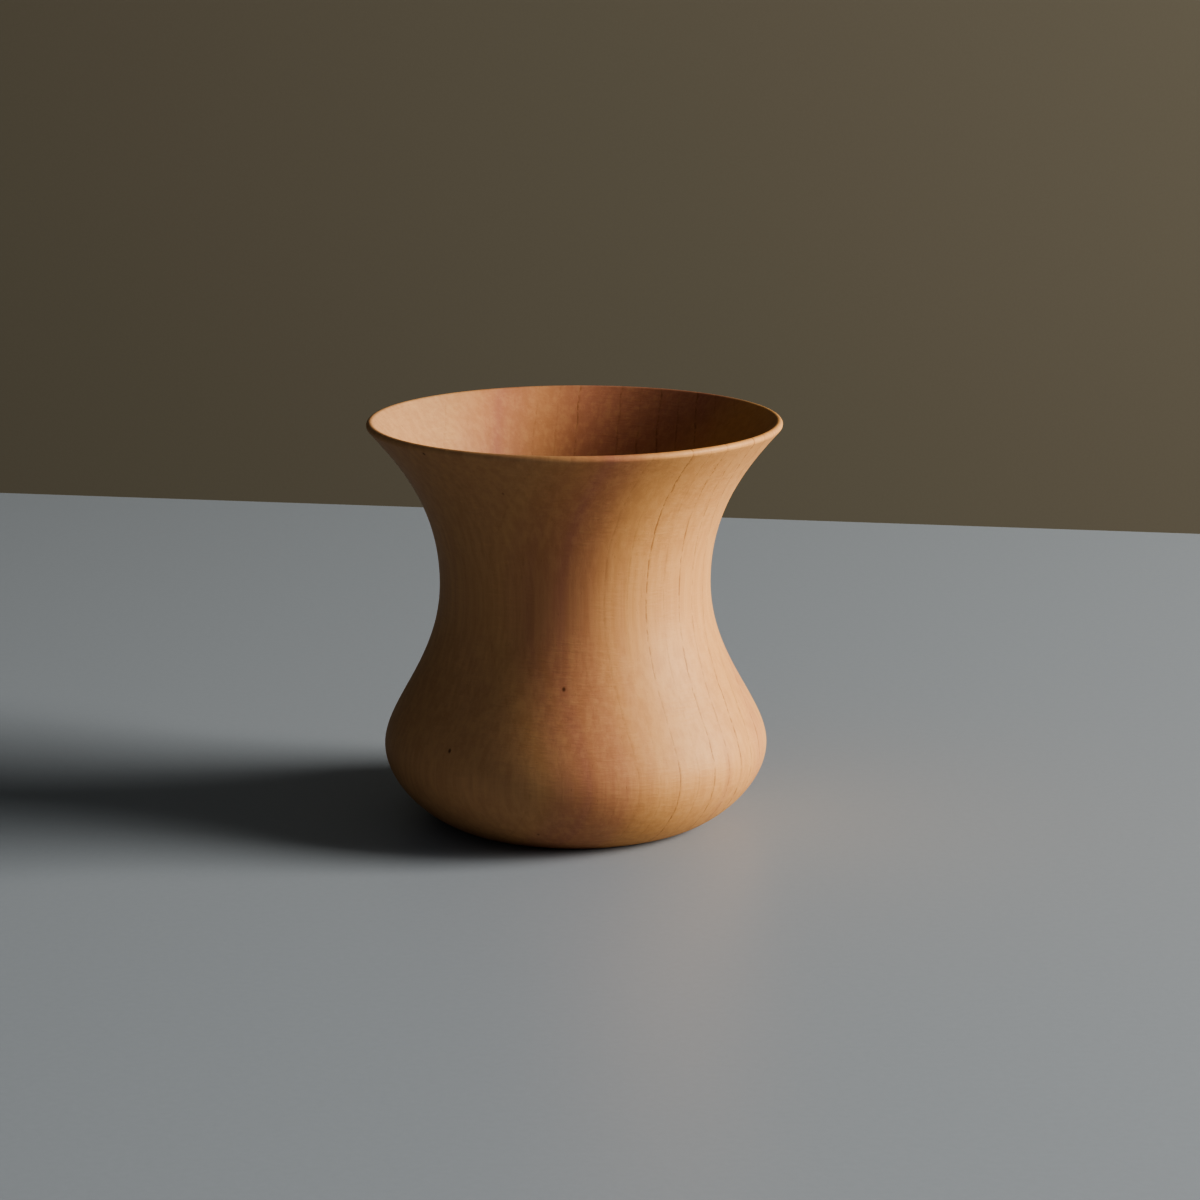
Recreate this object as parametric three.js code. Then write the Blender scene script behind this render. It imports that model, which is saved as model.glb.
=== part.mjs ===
// Turned wooden sake cup: one piece of wood with a flared mouth, a narrow waist and a
// round belly. Millimetres, +Z up, the foot stands on Z = 0 and the axis of turning is Z.
import * as THREE from "three";

// Outside of the cup
const RIM_DIAMETER = 64;
const HEIGHT = 63;
const WAIST_DIAMETER = 42;
const WAIST_HEIGHT = 37.6;
const BELLY_DIAMETER = 59.7;
const BELLY_HEIGHT = 12;
const FOOT_DIAMETER = 39;

// Wall and floor
const LIP_THICKNESS = 1.2;
const WAIST_WALL = 2.6;
const BELLY_WALL = 3.0;
const FLOOR_THICKNESS = 4.6;

// Underside: a flat ring to stand on, round a shallow turned recess
const FOOT_RING_WIDTH = 4.5;
const RECESS_DEPTH = 0.6;
const RECESS_STEP = 1.2;

// Angles of the turned line, measured from the axis at the rim and from the table at the foot
const FLARE_ANGLE = THREE.MathUtils.degToRad(42);
const FOOT_ANGLE = THREE.MathUtils.degToRad(16);

// How far each curve keeps its end direction, as a share of the height or width it spans
const FLARE_EASE = 0.31;
const WAIST_EASE_ABOVE = 0.45;
const WAIST_EASE_BELOW = 0.48;
const BELLY_EASE_ABOVE = 0.24;
const BELLY_EASE_BELOW = 0.47;
const FOOT_EASE = 0.4;
const BOWL_EASE_SIDE = 0.8;
const BOWL_EASE_FLOOR = 0.62;

// Fineness of the solid
const SEGMENTS_ROUND = 64;
const POINTS_PER_CURVE = 9;

/** The three stations that a wall passes, from the waist down, for one side of the wall. */
function stations(waistRadius, bellyRadius) {
  return {
    waist: new THREE.Vector2(waistRadius, WAIST_HEIGHT),
    belly: new THREE.Vector2(bellyRadius, BELLY_HEIGHT),
  };
}

/** Draws the flat ring and the recess of the underside, from the axis out to the foot. */
function drawUnderside(outline) {
  const footRadius = FOOT_DIAMETER / 2;
  const ringInner = footRadius - FOOT_RING_WIDTH;
  outline.moveTo(0, RECESS_DEPTH);
  outline.lineTo(ringInner - RECESS_STEP, RECESS_DEPTH);
  outline.lineTo(ringInner, 0);
  outline.lineTo(footRadius, 0);
}

/** Draws the outside from the foot over the belly and the waist to the start of the lip. */
function drawOutside(outline, lipCentre, lipRadius) {
  const { waist, belly } = stations(WAIST_DIAMETER / 2, BELLY_DIAMETER / 2);
  const footRadius = FOOT_DIAMETER / 2;
  const footHandle = (belly.x - footRadius) * FOOT_EASE;
  outline.bezierCurveTo(
    footRadius + footHandle * Math.cos(FOOT_ANGLE), footHandle * Math.sin(FOOT_ANGLE),
    belly.x, belly.y * (1 - BELLY_EASE_BELOW),
    belly.x, belly.y,
  );
  drawNeck(outline, belly, waist);
  const flareHandle = (HEIGHT - waist.y) * FLARE_EASE;
  const lipStart = new THREE.Vector2(
    lipCentre.x + lipRadius * Math.cos(FLARE_ANGLE),
    lipCentre.y - lipRadius * Math.sin(FLARE_ANGLE),
  );
  outline.bezierCurveTo(
    waist.x, waist.y + (HEIGHT - waist.y) * WAIST_EASE_ABOVE,
    lipStart.x - flareHandle * Math.sin(FLARE_ANGLE), lipStart.y - flareHandle * Math.cos(FLARE_ANGLE),
    lipStart.x, lipStart.y,
  );
}

/** Draws one side of the wall between the belly and the waist, upright at both. */
function drawNeck(outline, belly, waist) {
  const rise = waist.y - belly.y;
  outline.bezierCurveTo(
    belly.x, belly.y + rise * BELLY_EASE_ABOVE,
    waist.x, waist.y - rise * WAIST_EASE_BELOW,
    waist.x, waist.y,
  );
}

/** Draws the hollow from the end of the lip down the wall to the middle of the floor. */
function drawInside(outline, lipCentre, lipRadius) {
  const { waist, belly } = stations(WAIST_DIAMETER / 2 - WAIST_WALL, BELLY_DIAMETER / 2 - BELLY_WALL);
  const rise = waist.y - belly.y;
  const flareHandle = (HEIGHT - waist.y) * FLARE_EASE;
  const lipEnd = new THREE.Vector2(
    lipCentre.x - lipRadius * Math.cos(FLARE_ANGLE),
    lipCentre.y + lipRadius * Math.sin(FLARE_ANGLE),
  );
  outline.bezierCurveTo(
    lipEnd.x - flareHandle * Math.sin(FLARE_ANGLE), lipEnd.y - flareHandle * Math.cos(FLARE_ANGLE),
    waist.x, waist.y + (HEIGHT - waist.y) * WAIST_EASE_ABOVE,
    waist.x, waist.y,
  );
  outline.bezierCurveTo(
    waist.x, waist.y - rise * WAIST_EASE_BELOW,
    belly.x, belly.y + rise * BELLY_EASE_ABOVE,
    belly.x, belly.y,
  );
  const bowlDepth = belly.y - FLOOR_THICKNESS;
  outline.bezierCurveTo(
    belly.x, belly.y - bowlDepth * BOWL_EASE_SIDE,
    belly.x * BOWL_EASE_FLOOR, FLOOR_THICKNESS,
    0, FLOOR_THICKNESS,
  );
}

/** The closed half section of the cup, from the axis under the foot to the axis on the floor. */
function cupSection() {
  const lipRadius = LIP_THICKNESS / 2;
  const lipCentre = new THREE.Vector2(RIM_DIAMETER / 2 - lipRadius, HEIGHT - lipRadius);
  const outline = new THREE.Path();
  drawUnderside(outline);
  drawOutside(outline, lipCentre, lipRadius);
  outline.absarc(lipCentre.x, lipCentre.y, lipRadius, -FLARE_ANGLE, Math.PI - FLARE_ANGLE, false);
  drawInside(outline, lipCentre, lipRadius);
  const points = outline.getPoints(POINTS_PER_CURVE);
  points[points.length - 1].x = 0;
  return points;
}

const wood = new THREE.MeshStandardMaterial({ color: 0xb27d52, roughness: 0.5, metalness: 0 });

const turnedCup = new THREE.Mesh(new THREE.LatheGeometry(cupSection(), SEGMENTS_ROUND), wood);
turnedCup.name = "turned_cup";
turnedCup.rotation.x = Math.PI / 2;

const cup = new THREE.Group();
cup.name = "sake_cup";
cup.add(turnedCup);

export default cup;
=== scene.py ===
"""A turned wooden sake cup on a grey table, seen from the photograph's viewpoint.

Lengths are in metres, +Z is up and the cup stands on Z = 0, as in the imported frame.
"""
import logging
import math
from dataclasses import dataclass, field
from enum import Enum
from typing import NamedTuple, Optional, Union

import bpy
from mathutils import Matrix, Vector


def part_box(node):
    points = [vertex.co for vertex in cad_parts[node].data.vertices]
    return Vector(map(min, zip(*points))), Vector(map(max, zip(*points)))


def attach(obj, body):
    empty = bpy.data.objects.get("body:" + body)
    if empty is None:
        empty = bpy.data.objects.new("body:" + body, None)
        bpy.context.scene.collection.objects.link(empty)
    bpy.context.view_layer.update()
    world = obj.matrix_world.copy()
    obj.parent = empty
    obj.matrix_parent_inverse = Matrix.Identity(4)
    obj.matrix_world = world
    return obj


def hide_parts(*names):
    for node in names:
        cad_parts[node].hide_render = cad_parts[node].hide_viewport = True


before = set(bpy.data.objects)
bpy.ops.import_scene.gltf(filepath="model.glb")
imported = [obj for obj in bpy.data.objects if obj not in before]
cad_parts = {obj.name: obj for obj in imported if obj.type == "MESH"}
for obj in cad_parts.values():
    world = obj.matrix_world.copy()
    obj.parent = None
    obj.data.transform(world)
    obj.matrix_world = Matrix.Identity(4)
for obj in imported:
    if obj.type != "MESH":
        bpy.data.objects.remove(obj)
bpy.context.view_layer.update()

MM = 0.001
LOG = logging.getLogger("sake_cup")

NODE = "turned_cup"
BODY = "root"
BAKE_MAP = "OFBake"
SHARE = "share"

VIEW_TRANSFORM = "AgX"
VIEW_LOOK = "AgX - High Contrast"
VIEW_EXPOSURE = 0.5

Number = Union[int, float]
Colour = tuple[float, float, float]


def srgb(red: int, green: int, blue: int) -> Colour:
    """Turns a colour of 0 to 255 a channel into linear light.

    Args:
        red, green, blue: the channels as a picture stores them.

    Returns:
        The three channels in linear light, from 0 to 1.
    """
    def linear(value: int) -> float:
        """One channel in linear light."""
        share = value / 255
        return share / 12.92 if share <= 0.04045 else ((share + 0.055) / 1.055) ** 2.4

    return linear(red), linear(green), linear(blue)


class Term:
    """A node's output, which can be used in Python expressions where it is a value."""

    def __init__(self, graph: "Nodes", socket: bpy.types.NodeSocket) -> None:
        """Wraps one output socket of a graph."""
        self.graph = graph
        self.socket = socket

    def __add__(self, other: "Value") -> "Term":
        """self + other."""
        return self.graph.math("ADD", self, other)

    __radd__ = __add__

    def __sub__(self, other: "Value") -> "Term":
        """self - other."""
        return self.graph.math("SUBTRACT", self, other)

    def __rsub__(self, other: "Value") -> "Term":
        """other - self."""
        return self.graph.math("SUBTRACT", other, self)

    def __mul__(self, other: "Value") -> "Term":
        """self * other."""
        return self.graph.math("MULTIPLY", self, other)

    __rmul__ = __mul__

    def __truediv__(self, other: "Value") -> "Term":
        """self / other."""
        return self.graph.math("DIVIDE", self, other)

    def __rtruediv__(self, other: "Value") -> "Term":
        """other / self."""
        return self.graph.math("DIVIDE", other, self)


Value = Union[Term, Number]


class Place(NamedTuple):
    """A place in the wood in millimetres, with z along the fibres."""

    x: Term
    y: Term
    z: Term


class Nodes:
    """Adds nodes to the tree of a material or of Geometry Nodes."""

    def __init__(self, tree: bpy.types.NodeTree) -> None:
        """Takes the tree that the nodes go into."""
        self.tree = tree

    def node(self, kind: str, settings: Optional[dict] = None,
             inputs: Optional[dict] = None) -> bpy.types.Node:
        """Adds a node.

        Args:
            kind: the node's type name.
            settings: the node's own properties, which are set first.
            inputs: values, or terms to link, by the socket's name or number.

        Returns:
            The new node.
        """
        made = self.tree.nodes.new(kind)
        for key, value in (settings or {}).items():
            setattr(made, key, value)
        for key, value in (inputs or {}).items():
            if isinstance(value, Term):
                self.tree.links.new(value.socket, made.inputs[key])
            else:
                made.inputs[key].default_value = value
        return made

    def term(self, kind: str, output: Union[str, int] = 0, settings: Optional[dict] = None,
             inputs: Optional[dict] = None) -> Term:
        """Adds a node and returns one of its outputs as a term."""
        return Term(self, self.node(kind, settings, inputs).outputs[output])

    def math(self, operation: str, *values: Value) -> Term:
        """Adds a Math node on one to three values."""
        return self.term("ShaderNodeMath", 0, {"operation": operation}, dict(enumerate(values)))

    def square_root(self, value: Value) -> Term:
        """The square root of a value."""
        return self.math("SQRT", value)

    def clamp(self, value: Value) -> Term:
        """Holds a value between 0 and 1."""
        return self.term("ShaderNodeClamp", 0, None, {"Value": value})

    def step(self, value: Value, low: float, high: float) -> Term:
        """Rises smoothly from 0 at low to 1 at high."""
        inputs = {0: value, 1: low, 2: high, 3: 0, 4: 1}
        return self.term("ShaderNodeMapRange", 0, {"interpolation_type": "SMOOTHSTEP"}, inputs)

    def vector(self, x: Value, y: Value, z: Value) -> Term:
        """Joins three values into a vector."""
        return self.term("ShaderNodeCombineXYZ", 0, None, {0: x, 1: y, 2: z})

    def split(self, vector: Term) -> list[Term]:
        """The x, y and z of a vector."""
        parts = self.node("ShaderNodeSeparateXYZ", None, {0: vector})
        return [Term(self, part) for part in parts.outputs]


class Graph(Nodes):
    """Adds the nodes of one material."""

    def __init__(self, name: str) -> None:
        """Makes an empty node material.

        Args:
            name: the material's name.
        """
        self.material = bpy.data.materials.new(name)
        self.material.use_nodes = True
        super().__init__(self.material.node_tree)
        self.tree.nodes.clear()

    def place(self) -> Place:
        """The shaded point in the piece's own frame, in millimetres."""
        axes = self.split(self.term("ShaderNodeTexCoord", "Object"))
        return Place(*(axis / MM for axis in axes))

    def noise(self, at: Term, detail: float, roughness: float = 0.5, scale: float = 1.0) -> Term:
        """Smooth noise from 0 to 1 at a point."""
        inputs = {"Vector": at, "Scale": scale, "Detail": detail, "Roughness": roughness}
        return self.term("ShaderNodeTexNoise", 0, {"noise_dimensions": "3D"}, inputs)

    def mix(self, share: Value, first: Union[Term, Colour], second: Union[Term, Colour]) -> Term:
        """Mixes two colours.

        Args:
            share: how much of the second colour there is, from 0 to 1.
            first, second: the colours, each plain or a term.

        Returns:
            The mixed colour.
        """
        def full(colour: Union[Term, Colour]) -> Union[Term, tuple]:
            """A plain colour with its alpha."""
            return colour if isinstance(colour, Term) else (*colour, 1)

        inputs = {0: share, 6: full(first), 7: full(second)}
        return self.term("ShaderNodeMix", 2, {"data_type": "RGBA"}, inputs)

    def finish(self, surface: Term) -> bpy.types.Material:
        """Joins a shader to the material's output and returns the material."""
        self.node("ShaderNodeOutputMaterial", None, {"Surface": surface})
        return self.material


@dataclass(frozen=True)
class Grain:
    """Noise that is drawn out along or across the fibres, in waves per millimetre."""

    across: float
    along: float
    detail: float
    roughness: float = 0.5

    def at(self, graph: Graph, place: Place) -> Term:
        """The noise at a place, from 0 to 1."""
        drawn = graph.vector(place.x * self.across, place.y * self.across, place.z * self.along)
        return graph.noise(drawn, self.detail, self.roughness)


@dataclass(frozen=True)
class Rise:
    """A smooth rise from 0 at low to full at high. With low above high it falls instead."""

    low: float
    high: float
    full: float = 1.0

    def of(self, value: Term) -> Term:
        """The rise at a value."""
        rise = value.graph.step(value, self.low, self.high)
        return rise if self.full == 1 else rise * self.full


@dataclass(frozen=True)
class GrowthRings:
    """Sheets of yearly growth round a pith that lies outside the cup, to its right.

    Lengths are in millimetres, and the lines' edges in shares of a year's growth.
    """

    pith_x: float = 65.0
    pith_y: float = 18.0
    spacing: float = 3.3
    wander: Grain = Grain(0.03, 0.008, 1)
    wander_width: float = 3.0
    tremble: Grain = Grain(0.4, 0.08, 4, 0.6)
    tremble_width: float = 0.9
    line_starts: Rise = Rise(0.84, 0.95)
    line_ends: Rise = Rise(0.95, 0.99)
    faintest_year: float = 0.3
    faint_far_out: Rise = Rise(66, 76, 0.75)
    breaks: Grain = Grain(1.6, 0.6, 3, 0.65)
    unbroken: Rise = Rise(0.36, 0.6)
    fading: Grain = Grain(0.12, 0.045, 1)
    most_faded: float = 0.45
    unfaded: Rise = Rise(0.36, 0.56)
    flat_cut_loss: Rise = Rise(0.7, 0.98, 0.8)
    axis_clearance: float = 0.1

    def from_pith(self, place: Place) -> tuple[Term, Term]:
        """The way from the pith to a place, in x and y."""
        return place.x - self.pith_x, place.y - self.pith_y

    def radius(self, graph: Graph, place: Place) -> Term:
        """The distance of a place from the pith."""
        reach_x, reach_y = self.from_pith(place)
        return graph.square_root(reach_x * reach_x + reach_y * reach_y)

    def lines(self, graph: Graph, place: Place, radius: Term) -> Term:
        """The thin dark line that ends each year's growth.

        Args:
            graph: the material's graph.
            place: the place in the wood.
            radius: its distance from the pith.

        Returns:
            A mask that is 1 on a strong line. Each year has its own strength, and a line breaks
            up, fades in stretches, and fades where the cup's surface lies flat to the rings.
        """
        wander = self.wander.at(graph, place) - 0.5
        tremble = self.tremble.at(graph, place) - 0.5
        age = (radius + wander * self.wander_width + tremble * self.tremble_width) / self.spacing
        in_year = graph.math("FRACT", age)
        line = self.line_starts.of(in_year) * (1 - self.line_ends.of(in_year))

        year = graph.math("FLOOR", age)
        strength = graph.term("ShaderNodeTexWhiteNoise", 0, {"noise_dimensions": "1D"}, {"W": year})
        strength = self.faintest_year + (1 - self.faintest_year) * strength
        strength = strength * (1 - self.faint_far_out.of(radius))

        unfaded = self.unfaded.of(self.fading.at(graph, place))
        whole = self.unbroken.of(self.breaks.at(graph, place))
        whole = whole * (self.most_faded + (1 - self.most_faded) * unfaded)
        return line * strength * whole * (1 - self._flat_cut(graph, place, radius))

    def _flat_cut(self, graph: Graph, place: Place, radius: Term) -> Term:
        """How much of a line is lost where the turned surface lies flat to the rings.

        Args:
            graph: the material's graph.
            place: the place in the wood.
            radius: its distance from the pith.

        Returns:
            The lost share.
        """
        reach_x, reach_y = self.from_pith(place)
        clearance = self.axis_clearance ** 2
        from_axis = graph.square_root(place.x * place.x + place.y * place.y + clearance)
        facing = reach_x * place.x + reach_y * place.y
        return self.flat_cut_loss.of(graph.math("ABSOLUTE", facing) / (radius * from_axis))


@dataclass(frozen=True)
class Ripple:
    """Short silky marks across the fibres, in patches."""

    marks: Grain = Grain(0.4, 2.0, 2, 0.6)
    patches: Grain = Grain(0.09, 0.06, 2)
    between_patches: float = 0.25
    patch: Rise = Rise(0.36, 0.56)

    def at(self, graph: Graph, place: Place) -> Term:
        """How the ripple lies at a place.

        Args:
            graph: the material's graph.
            place: the place in the wood.

        Returns:
            A value from -0.5 to 0.5.
        """
        patch = self.patch.of(self.patches.at(graph, place))
        share = self.between_patches + patch * (1 - self.between_patches)
        return (self.marks.at(graph, place) - 0.5) * share


@dataclass(frozen=True)
class Flecks:
    """A few small dark flecks, each a dash along the fibres, in cells per millimetre."""

    across: float = 0.14
    along: float = 0.09
    edge: Rise = Rise(0.02, 0.055)

    def at(self, graph: Graph, place: Place) -> Term:
        """Where the flecks are.

        Args:
            graph: the material's graph.
            place: the place in the wood.

        Returns:
            A mask that is 1 inside a fleck.
        """
        cell = graph.vector(place.x * self.across, place.y * self.across, place.z * self.along)
        settings = {"voronoi_dimensions": "3D", "feature": "F1"}
        distance = graph.term("ShaderNodeTexVoronoi", "Distance", settings, {
            "Vector": cell, "Scale": 1.0, "Randomness": 1.0})
        return 1 - self.edge.of(distance)


@dataclass(frozen=True)
class WoodColour:
    """The wood's colour: honey with a rosy band, a redder, darker back right that is painted shade and
    reddish bounce light, a greyer, darker left that is painted shade, and fine streaks.

    Lengths are in millimetres. A share is how much of its colour a mark has where it is full.
    """

    honey: Colour = srgb(190, 143, 94)
    # the wood's own rosy band colour, also the tint of the painted shade and reddish bounce light at the
    # back right
    rosy_and_painted_bounce: Colour = srgb(167, 113, 93)
    pale: Colour = srgb(203, 160, 113)
    shade: Colour = srgb(160, 113, 76)
    # a greyer, darker brown that is painted shade on the cup's left side
    painted_shade_tone: Colour = srgb(170, 133, 104)
    ring_line: Colour = srgb(126, 83, 48)
    fleck: Colour = srgb(84, 48, 28)

    rosy_radius: float = 77.0
    rosy_half_width: float = 4.5
    rosy_share: float = 0.6
    band_across: float = 0.15
    band_along: float = 0.006
    band_slice: float = 0.7
    band_detail: float = 2
    band: Rise = Rise(0.5, 0.68, 0.4)
    # painted shade and reddish bounce light: the back right, inside and out, is made redder and darker
    painted_bounce_back: Rise = Rise(12, 24)
    painted_bounce_right: Rise = Rise(-12, 4)
    painted_bounce_share: float = 0.9
    # painted shade: the cup's left side, far from the pith, turns greyer and darker
    painted_shade_side: Rise = Rise(78, 88, 0.6)

    streaks: Grain = Grain(1.0, 0.025, 3, 0.55)
    pale_streak: Rise = Rise(0.42, 0.72, 0.22)
    dark_streak: Rise = Rise(0.55, 0.3, 0.2)
    pale_fibre: Rise = Rise(0.5, 0.78, 0.14)
    dark_fibre: Rise = Rise(0.5, 0.25, 0.16)
    ripple_share: float = 0.6
    line_share: float = 0.7
    pore_share: float = 0.18
    fleck_share: float = 0.8
    flecks: Flecks = Flecks()

    def _redness_with_painted_bounce(self, graph: Graph, place: Place, radius: Term) -> Term:
        """How rosy the wood is at a place, together with painted shade and reddish bounce light at the
        back right.

        Args:
            graph: the material's graph.
            place: the place in the wood.
            radius: its distance from the pith.

        Returns:
            A share from 0 to 1: one broad band, fainter bands of chance and the painted shade and bounce
                light of the back right together.
        """
        away = (radius - self.rosy_radius) / self.rosy_half_width
        rosy_band = 1 / (1 + away * away * away * away)
        at = graph.vector(radius * self.band_across, self.band_slice, place.z * self.band_along)
        chance = graph.noise(at, self.band_detail)
        # painted shade and reddish bounce light in the back right
        painted_bounce_mask = self.painted_bounce_back.of(place.y) * self.painted_bounce_right.of(place.x)
        return graph.clamp(rosy_band * self.rosy_share + self.band.of(chance) + painted_bounce_mask * self.painted_bounce_share)

    def at(self, graph: Graph, place: Place, radius: Term, marks: "WoodMarks") -> Term:
        """The colour at a place.

        Args:
            graph: the material's graph.
            place: the place in the wood.
            radius: its distance from the pith.
            marks: the marks that both the colour and the relief show.

        Returns:
            The colour.
        """
        streaks = self.streaks.at(graph, place)
        layers = [
            # the wood's rosy bands, plus painted shade and reddish bounce light at the back right
            (self._redness_with_painted_bounce(graph, place, radius), self.rosy_and_painted_bounce),
            # painted shade on the cup's left side
            (self.painted_shade_side.of(radius), self.painted_shade_tone),
            (self.pale_streak.of(streaks), self.pale),
            (self.dark_streak.of(streaks), self.shade),
            (self.pale_fibre.of(marks.fibres), self.pale),
            (self.dark_fibre.of(marks.fibres), self.shade),
            (graph.clamp(marks.ripple * self.ripple_share), self.pale),
            (marks.lines * self.line_share, self.ring_line),
            (marks.pores * self.pore_share, self.ring_line),
            (self.flecks.at(graph, place) * self.fleck_share, self.fleck),
        ]
        colour: Union[Term, Colour] = self.honey
        for share, tint in layers:
            colour = graph.mix(share, colour, tint)
        return colour


class WoodMarks(NamedTuple):
    """The marks that both the wood's colour and its relief show."""

    fibres: Term
    pores: Term
    ripple: Term
    lines: Term


@dataclass(frozen=True)
class WoodFinish:
    """Straight-grained pale wood under a thin satin finish, with fibres along the cup's axis."""

    colour: WoodColour = WoodColour()
    rings: GrowthRings = GrowthRings()
    ripple: Ripple = Ripple()
    fibres: Grain = Grain(4.2, 0.15, 4, 0.7)
    pores: Grain = Grain(5.0, 1.1, 2, 0.6)
    pore: Rise = Rise(0.62, 0.76)

    fibre_height: float = 0.1
    pore_depth: float = 0.15
    line_depth: float = 0.25
    bump_strength: float = 0.6
    bump_height: float = 0.1 * MM
    roughness: float = 0.54
    fibre_roughness: float = 0.14
    line_roughness: float = 0.05
    specular: float = 0.22

    def build(self) -> bpy.types.Material:
        """Makes the material.

        Returns:
            The wood's material.
        """
        graph = Graph("satin wood")
        place = graph.place()
        radius = self.rings.radius(graph, place)
        marks = WoodMarks(
            fibres=self.fibres.at(graph, place),
            pores=self.pore.of(self.pores.at(graph, place)),
            ripple=self.ripple.at(graph, place),
            lines=self.rings.lines(graph, place, radius))

        height = marks.fibres * self.fibre_height + marks.ripple
        height = height - marks.pores * self.pore_depth - marks.lines * self.line_depth
        bump = graph.term("ShaderNodeBump", 0, None, {
            "Strength": self.bump_strength, "Distance": self.bump_height, "Height": height})
        dulled = (marks.fibres - 0.5) * self.fibre_roughness
        surface = graph.term("ShaderNodeBsdfPrincipled", 0, None, {
            "Base Color": self.colour.at(graph, place, radius, marks),
            "Roughness": self.roughness + dulled + marks.lines * self.line_roughness,
            "Normal": bump,
            "Specular IOR Level": self.specular})
        return graph.finish(surface)


@dataclass(frozen=True)
class PlainFinish:
    """A plain matt surface with a faint mottle, for the table and the wall."""

    name: str
    colour: Colour
    roughness: float
    specular: float = 0.3
    mottle_scale: float = 900.0
    mottle_detail: float = 3
    mottle_tone: float = 0.93

    def build(self) -> bpy.types.Material:
        """Makes the material.

        Returns:
            The surface's material.
        """
        graph = Graph(self.name)
        at = graph.term("ShaderNodeTexCoord", "Object")
        mottle = graph.noise(at, self.mottle_detail, scale=self.mottle_scale)
        darker = tuple(channel * self.mottle_tone for channel in self.colour)
        surface = graph.term("ShaderNodeBsdfPrincipled", 0, None, {
            "Base Color": graph.mix(mottle, self.colour, darker),
            "Roughness": self.roughness,
            "Specular IOR Level": self.specular})
        return graph.finish(surface)


def bezier(start: Vector, leave: Vector, arrive: Vector, end: Vector, count: int) -> list[Vector]:
    """Points of a cubic curve, without its first one.

    Args:
        start, leave, arrive, end: the curve's four control points.
        count: how many points to return.

    Returns:
        The points, evenly spaced in the curve's parameter.
    """
    points = []
    for index in range(1, count + 1):
        t = index / count
        s = 1 - t
        points.append(s ** 3 * start + 3 * s * s * t * leave + 3 * s * t * t * arrive + t ** 3 * end)
    return points


def straight(start: Vector, end: Vector, count: int) -> list[Vector]:
    """Evenly spaced points of a straight stretch, without its first one."""
    return bezier(start, start.lerp(end, 1 / 3), start.lerp(end, 2 / 3), end, count)


class Side(Enum):
    """The two sides of the turned wall."""

    OUTSIDE = 1
    INSIDE = -1


class Station(Enum):
    """The two heights at which the wall stands upright."""

    WAIST = 1
    BELLY = 2


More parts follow.
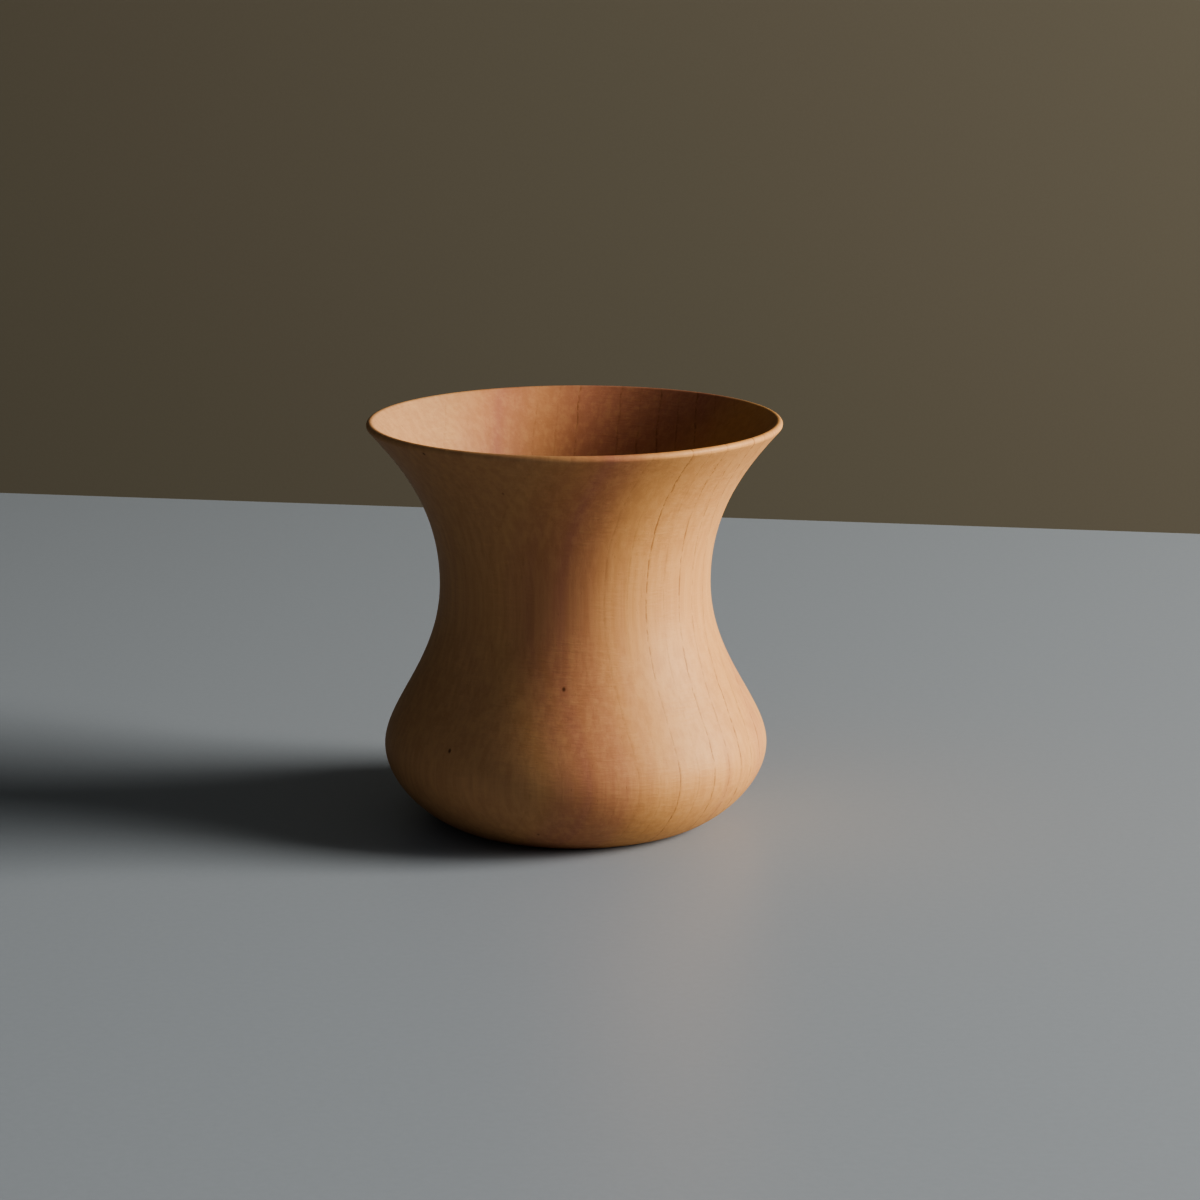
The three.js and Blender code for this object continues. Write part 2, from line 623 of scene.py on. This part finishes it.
@dataclass
class TurnedCup:
    """The cup's turned body: its half section and the solid made by turning it.

    An ease is how far a curve's handle reaches, as a share of the stretch that the curve spans.
    """

    rim_radius: float
    height: float
    waist_radius: float = 21 * MM
    waist_height: float = 37.6 * MM
    belly_radius: float = 29.85 * MM
    belly_height: float = 12 * MM
    foot_radius: float = 19.5 * MM
    lip_radius: float = 0.6 * MM
    waist_wall: float = 2.6 * MM
    belly_wall: float = 3.0 * MM
    floor_height: float = 4.6 * MM
    ring_width: float = 4.5 * MM
    recess_depth: float = 0.6 * MM
    recess_step: float = 1.2 * MM
    flare_angle: float = math.radians(42)
    foot_angle: float = math.radians(16)

    flare_ease: float = 0.31
    waist_ease_above: float = 0.45
    waist_ease_below: float = 0.48
    belly_ease_above: float = 0.24
    belly_ease_below: float = 0.47
    foot_ease: float = 0.4
    bowl_ease_side: float = 0.8
    bowl_ease_floor: float = 0.62

    segments: int = 192
    curve_points: int = 40
    lip_points: int = 20
    foot_points: int = 6
    sharp_angle: float = math.radians(22)
    finish: WoodFinish = field(default_factory=WoodFinish)

    def section(self) -> list[Vector]:
        """The cup's half section.

        Returns:
            Points as (radius, 0, height), from under the foot round to the middle of the floor.
        """
        inner_belly = self._station(Side.INSIDE, Station.BELLY)
        points = self._underside()
        points += self._belly_to_foot()
        points += self._wall(Side.OUTSIDE)
        points += self._lip()[1:]
        points += [*reversed(self._wall(Side.INSIDE)[:-1]), inner_belly]
        points += self._bowl()
        return points

    def _station(self, side: Side, name: Station) -> Vector:
        """Where a side of the wall stands upright.

        Args:
            side: the wall's outside or inside.
            name: the waist or the belly.

        Returns:
            The point of the half section.
        """
        radius, height, wall = self.belly_radius, self.belly_height, self.belly_wall
        if name is Station.WAIST:
            radius, height, wall = self.waist_radius, self.waist_height, self.waist_wall
        return Vector((radius - wall if side is Side.INSIDE else radius, 0, height))

    def _underside(self) -> list[Vector]:
        """The recess and the foot ring.

        Returns:
            Points from the middle of the recess out to the foot's edge.
        """
        ring_inner = self.foot_radius - self.ring_width
        recess_edge = ring_inner - self.recess_step
        points = [Vector((0, 0, self.recess_depth))]
        for radius, height in [(recess_edge, self.recess_depth), (ring_inner, 0), (self.foot_radius, 0)]:
            points += straight(points[-1], Vector((radius, 0, height)), self.foot_points)
        return points

    def _lip_point(self, angle: float) -> Vector:
        """A point of the round lip at an angle above the level, outwards."""
        centre = Vector((self.rim_radius - self.lip_radius, 0, self.height - self.lip_radius))
        return centre + self.lip_radius * Vector((math.cos(angle), 0, math.sin(angle)))

    def _lip(self) -> list[Vector]:
        """The half round of the lip, from the outside over the top to the inside."""
        turn = math.pi / self.lip_points
        return [self._lip_point(index * turn - self.flare_angle) for index in range(self.lip_points + 1)]

    def _belly_to_foot(self) -> list[Vector]:
        """The outside between the foot and the belly.

        Returns:
            Points from the foot's edge, without it, up to the belly.
        """
        foot = Vector((self.foot_radius, 0, 0))
        belly = self._station(Side.OUTSIDE, Station.BELLY)
        reach = (belly.x - foot.x) * self.foot_ease
        leave = foot + reach * Vector((math.cos(self.foot_angle), 0, math.sin(self.foot_angle)))
        arrive = belly - Vector((0, 0, belly.z * self.belly_ease_below))
        return bezier(foot, leave, arrive, belly, self.curve_points)

    def _wall(self, side: Side) -> list[Vector]:
        """One side of the wall, from the belly over the waist to the lip.

        Args:
            side: the wall's outside or inside.

        Returns:
            Points from the belly, without it, up to the lip.
        """
        belly = self._station(side, Station.BELLY)
        waist = self._station(side, Station.WAIST)
        rise = Vector((0, 0, waist.z - belly.z))
        neck = bezier(belly, belly + rise * self.belly_ease_above,
                      waist - rise * self.waist_ease_below, waist, self.curve_points)
        span = self.height - waist.z
        end = self._lip_point(-self.flare_angle if side is Side.OUTSIDE else math.pi - self.flare_angle)
        down = Vector((math.sin(self.flare_angle), 0, math.cos(self.flare_angle))) * span * self.flare_ease
        flare = bezier(waist, waist + Vector((0, 0, span * self.waist_ease_above)),
                       end - down, end, self.curve_points)
        return neck + flare

    def _bowl(self) -> list[Vector]:
        """The inside under the belly.

        Returns:
            Points from the belly, without it, down to the middle of the floor.
        """
        belly = self._station(Side.INSIDE, Station.BELLY)
        middle = Vector((0, 0, self.floor_height))
        depth = Vector((0, 0, belly.z - middle.z))
        leave = belly - depth * self.bowl_ease_side
        arrive = middle + Vector((belly.x * self.bowl_ease_floor, 0, 0))
        return bezier(belly, leave, arrive, middle, self.curve_points)

    def _section_mesh(self) -> bpy.types.Mesh:
        """The half section as a mesh.

        Returns:
            A chain of vertices, each with its share of the section's length.
        """
        points = self.section()
        mesh = bpy.data.meshes.new("half section")
        mesh.from_pydata(points, [(index, index + 1) for index in range(len(points) - 1)], [])
        travelled = [0.0]
        for first, second in zip(points, points[1:]):
            travelled.append(travelled[-1] + (second - first).length)
        share = mesh.attributes.new(SHARE, "FLOAT", "POINT")
        share.data.foreach_set("value", [length / travelled[-1] for length in travelled])
        return mesh

    def build(self) -> bpy.types.Object:
        """Turns the half section into the cup's mesh and dresses it.

        Returns:
            The cup as a plain mesh object at the origin.
        """
        blank = bpy.data.objects.new("half section", self._section_mesh())
        bpy.context.scene.collection.objects.link(blank)
        lathe = LatheTree().build()
        modifier = blank.modifiers.new("turn", "NODES")
        modifier.node_group = lathe
        values = {"Segments": self.segments, "Material": self.finish.build()}
        for item in lathe.interface.items_tree:
            if item.in_out == "INPUT" and item.name in values:
                modifier[item.identifier] = values[item.name]
        graph = bpy.context.evaluated_depsgraph_get()
        mesh = bpy.data.meshes.new_from_object(blank.evaluated_get(graph))
        mesh.name = NODE
        bpy.data.objects.remove(blank)
        mesh.set_sharp_from_angle(angle=self.sharp_angle)
        cup = bpy.data.objects.new(NODE + "_visual", mesh)
        bpy.context.scene.collection.objects.link(cup)
        return cup


class LatheTree(Nodes):
    """The Geometry Nodes tree that turns a half section round the Z axis."""

    default_segments: int = 64
    merge_distance: float = 0.001 * MM

    def __init__(self) -> None:
        """Makes the tree with its named inputs."""
        super().__init__(bpy.data.node_groups.new("lathe", "GeometryNodeTree"))
        face = self.tree.interface
        face.new_socket("Geometry", in_out="INPUT", socket_type="NodeSocketGeometry")
        segments = face.new_socket("Segments", in_out="INPUT", socket_type="NodeSocketInt")
        segments.default_value = self.default_segments
        face.new_socket("Material", in_out="INPUT", socket_type="NodeSocketMaterial")
        face.new_socket("Geometry", in_out="OUTPUT", socket_type="NodeSocketGeometry")

    def sample(self, kind: str, section: Term, value: Term, row: Term) -> Term:
        """Reads a value of one of the section's points.

        Args:
            kind: the value's data type.
            section: the half section's geometry.
            value: what to read, as a field on the section.
            row: the point's number, which is rounded to a whole one.

        Returns:
            The value that was read.
        """
        inputs = {"Geometry": section, "Value": value, "Index": self.math("ROUND", row)}
        return self.term("GeometryNodeSampleIndex", 0, {"data_type": kind, "domain": "POINT"}, inputs)

    def build(self) -> bpy.types.NodeTree:
        """Lays a grid of section points by segments and bends it round the axis.

        Returns:
            The finished tree.
        """
        given = self.node("NodeGroupInput").outputs
        section, segments = Term(self, given["Geometry"]), Term(self, given["Segments"])
        count = self.term("GeometryNodeAttributeDomainSize", "Point Count", {"component": "MESH"}, {
            "Geometry": section})
        last = count - 1
        grid = self.node("GeometryNodeMeshGrid", None, {
            "Size X": 1.0, "Size Y": 1.0, "Vertices X": count, "Vertices Y": segments + 1}).outputs
        bent = self._bend(section, Term(self, grid["Mesh"]), last)
        charted = self._chart(section, bent, Term(self, grid["UV Map"]), last)

        closed = self.term("GeometryNodeMergeByDistance", 0, None, {
            "Geometry": charted, "Distance": self.merge_distance})
        smooth = self.term("GeometryNodeSetShadeSmooth", 0, None, {"Geometry": closed})
        real = self.term("GeometryNodeRealizeInstances", 0, None, {"Geometry": smooth})
        dressed = self.term("GeometryNodeSetMaterial", 0, None, {
            "Geometry": real, "Material": Term(self, given["Material"])})
        self.node("NodeGroupOutput", None, {"Geometry": dressed})
        return self.tree

    def _bend(self, section: Term, grid: Term, last: Term) -> Term:
        """Moves each point of a flat grid to its place on the turned surface.

        Args:
            section: the half section's geometry.
            grid: a grid one unit wide and long, centred on the origin.
            last: the number of the section's last point.

        Returns:
            The bent geometry.
        """
        here = self.term("GeometryNodeInputPosition")
        along, across, _ = self.split(here)
        angle = (across + 0.5) * (2 * math.pi)
        point = self.sample("FLOAT_VECTOR", section, here, (along + 0.5) * last)
        turned = self.term("ShaderNodeVectorRotate", 0, {"rotation_type": "Z_AXIS"}, {
            "Vector": point, "Angle": angle})
        return self.term("GeometryNodeSetPosition", 0, None, {"Geometry": grid, "Position": turned})

    def _chart(self, section: Term, surface: Term, flat_map: Term, last: Term) -> Term:
        """Stores a UV map with the turn across and the section's length up.

        Args:
            section: the half section's geometry.
            surface: the turned surface.
            flat_map: the flat grid's own UV map.
            last: the number of the section's last point.

        Returns:
            The surface with its map.
        """
        along, across, _ = self.split(flat_map)
        share = self.term("GeometryNodeInputNamedAttribute", "Attribute", {"data_type": "FLOAT"}, {
            "Name": SHARE})
        travelled = self.sample("FLOAT", section, share, along * last)
        settings = {"data_type": "FLOAT2", "domain": "CORNER"}
        inputs = {"Geometry": surface, "Name": BAKE_MAP, "Value": self.vector(across, travelled, 0)}
        return self.term("GeometryNodeStoreNamedAttribute", 0, settings, inputs)


@dataclass(frozen=True)
class Studio:
    """The grey table and the dark wall behind it."""

    table_half_width: float = 1.2
    table_front: float = -0.9
    table_back: float = 0.235
    table_turn: float = math.radians(-10.9)
    wall_half_width: float = 2.5
    wall_low: float = -0.6
    wall_high: float = 1.6
    wall_distance: float = 1.1
    table: PlainFinish = PlainFinish("table", srgb(156, 162, 168), 0.45)
    wall: PlainFinish = PlainFinish("wall", srgb(112, 106, 92), 0.9)

    def build(self) -> list[bpy.types.Object]:
        """Makes the table and the wall.

        Returns:
            The stage's objects.
        """
        turn = Matrix.Rotation(self.table_turn, 4, "Z")
        lying = self._corners(self.table_half_width, self.table_front, self.table_back)
        upright = self._corners(self.wall_half_width, self.wall_low, self.wall_high)
        table = [turn @ Vector((x, y, 0)) for x, y in lying]
        wall = [Vector((x, self.wall_distance, z)) for x, z in upright]
        return [self._sheet(table, self.table), self._sheet(wall, self.wall)]

    @staticmethod
    def _corners(half_width: float, low: float, high: float) -> list[tuple[float, float]]:
        """The corners, in order, of a rectangle that is centred across."""
        return [(-half_width, low), (half_width, low), (half_width, high), (-half_width, high)]

    @staticmethod
    def _sheet(corners: list[Vector], finish: PlainFinish) -> bpy.types.Object:
        """Makes one flat sheet.

        Args:
            corners: its four corners in order.
            finish: its finish, which also names it.

        Returns:
            The sheet's object.
        """
        mesh = bpy.data.meshes.new(finish.name)
        mesh.from_pydata(corners, [], [(0, 1, 2, 3)])
        mesh.materials.append(finish.build())
        sheet = bpy.data.objects.new(finish.name, mesh)
        bpy.context.scene.collection.objects.link(sheet)
        return sheet


@dataclass(frozen=True)
class SoftLight:
    """A soft light panel that faces the cup.

    The heading turns from the front towards the right.
    """

    name: str
    heading: float
    elevation: float
    distance: float
    width: float
    height: float
    power: float
    colour: Colour

    def build(self, target: Vector) -> None:
        """Places the light round a target and turns it to face it.

        Args:
            target: the point that the panel faces.
        """
        data = bpy.data.lights.new(self.name, "AREA")
        data.shape = "RECTANGLE"
        data.size = self.width
        data.size_y = self.height
        data.energy = self.power
        data.color = self.colour
        light = bpy.data.objects.new(self.name, data)
        flat = math.cos(self.elevation)
        across, towards = math.sin(self.heading) * flat, math.cos(self.heading) * flat
        away = Vector((across, -towards, math.sin(self.elevation)))
        light.location = target + away * self.distance
        light.rotation_euler = (-away).to_track_quat("-Z", "Y").to_euler()
        bpy.context.scene.collection.objects.link(light)


@dataclass(frozen=True)
class Lighting:
    """A low window on the right, its faint bounce in front, and the dim room."""

    window: SoftLight = SoftLight(
        "window", heading=math.radians(82.3), elevation=math.radians(19.5), distance=1.5,
        width=0.72, height=0.75, power=30.8, colour=(1.0, 0.965, 0.91))
    bounce: SoftLight = SoftLight(
        "bounce", heading=math.radians(-5), elevation=math.radians(4), distance=0.8,
        width=0.8, height=0.1, power=0.25, colour=(0.96, 0.96, 1.0))
    room: SoftLight = SoftLight(
        "room", heading=math.radians(-50), elevation=math.radians(40), distance=1.8,
        width=1.8, height=1.8, power=0.55, colour=(0.72, 0.88, 1.0))
    air_strength: float = 0.07
    air_colour: Colour = (0.85, 0.93, 1.0)

    def build(self, target: Vector) -> None:
        """Makes the lights and fills the room with faint even light.

        Args:
            target: the point that the lights face.
        """
        for light in (self.window, self.bounce, self.room):
            light.build(target)
            LOG.info("light: %s", light.name)
        world = bpy.data.worlds.new("room")
        world.use_nodes = True
        background = world.node_tree.nodes["Background"]
        background.inputs["Color"].default_value = (*self.air_colour, 1)
        background.inputs["Strength"].default_value = self.air_strength
        bpy.context.scene.world = world


@dataclass(frozen=True)
class PhotoCamera:
    """The photograph's camera, in the cup's frame, as fitted to the cup's outline."""

    focal_pixels: float = 3626.0
    photo_pixels: float = 1200.0
    sensor_width: float = 36.0
    distance: float = 0.5497
    height: float = 0.1593
    pitch: float = math.radians(12.798)
    yaw: float = math.radians(0.401)
    roll: float = math.radians(-0.143)
    clip_start: float = 0.01
    clip_end: float = 20.0

    def build(self) -> None:
        """Places the camera and makes it the scene's."""
        data = bpy.data.cameras.new("camera")
        data.sensor_width = self.sensor_width
        data.sensor_fit = "HORIZONTAL"
        data.lens = self.focal_pixels / self.photo_pixels * self.sensor_width
        data.clip_start = self.clip_start
        data.clip_end = self.clip_end
        camera = bpy.data.objects.new("camera", data)
        flat = math.cos(self.pitch)
        ahead = Vector((math.sin(self.yaw) * flat, math.cos(self.yaw) * flat, -math.sin(self.pitch)))
        right = Vector((math.cos(self.yaw), -math.sin(self.yaw), 0))
        up = right.cross(ahead)
        tilted_right = math.cos(self.roll) * right + math.sin(self.roll) * up
        tilted_up = math.cos(self.roll) * up - math.sin(self.roll) * right
        turn = Matrix((tilted_right, tilted_up, -ahead)).transposed().to_4x4()
        camera.matrix_world = Matrix.Translation((0, -self.distance, self.height)) @ turn
        bpy.context.scene.collection.objects.link(camera)
        bpy.context.scene.camera = camera


def set_view() -> None:
    """Sets the tone curve that comes nearest to the photograph's."""
    view = bpy.context.scene.view_settings
    view.view_transform = VIEW_TRANSFORM
    view.look = VIEW_LOOK
    view.exposure = VIEW_EXPOSURE


def main() -> None:
    """Builds the cup, the stage, the lights and the camera."""
    logging.basicConfig(level=logging.INFO, format="%(name)s: %(message)s")
    low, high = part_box(NODE)
    cup = TurnedCup(rim_radius=(high[0] - low[0]) / 2, height=high[2] - low[2])
    body = cup.build()
    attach(body, BODY)
    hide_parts(NODE)
    LOG.info("%s: %d faces", body.name, len(body.data.polygons))

    stage = Studio().build()
    for sheet in stage:
        LOG.info("stage: %s", sheet.name)
    Lighting().build(Vector((0, 0, cup.height / 2)))
    PhotoCamera().build()
    set_view()


if __name__ == "__main__":
    main()
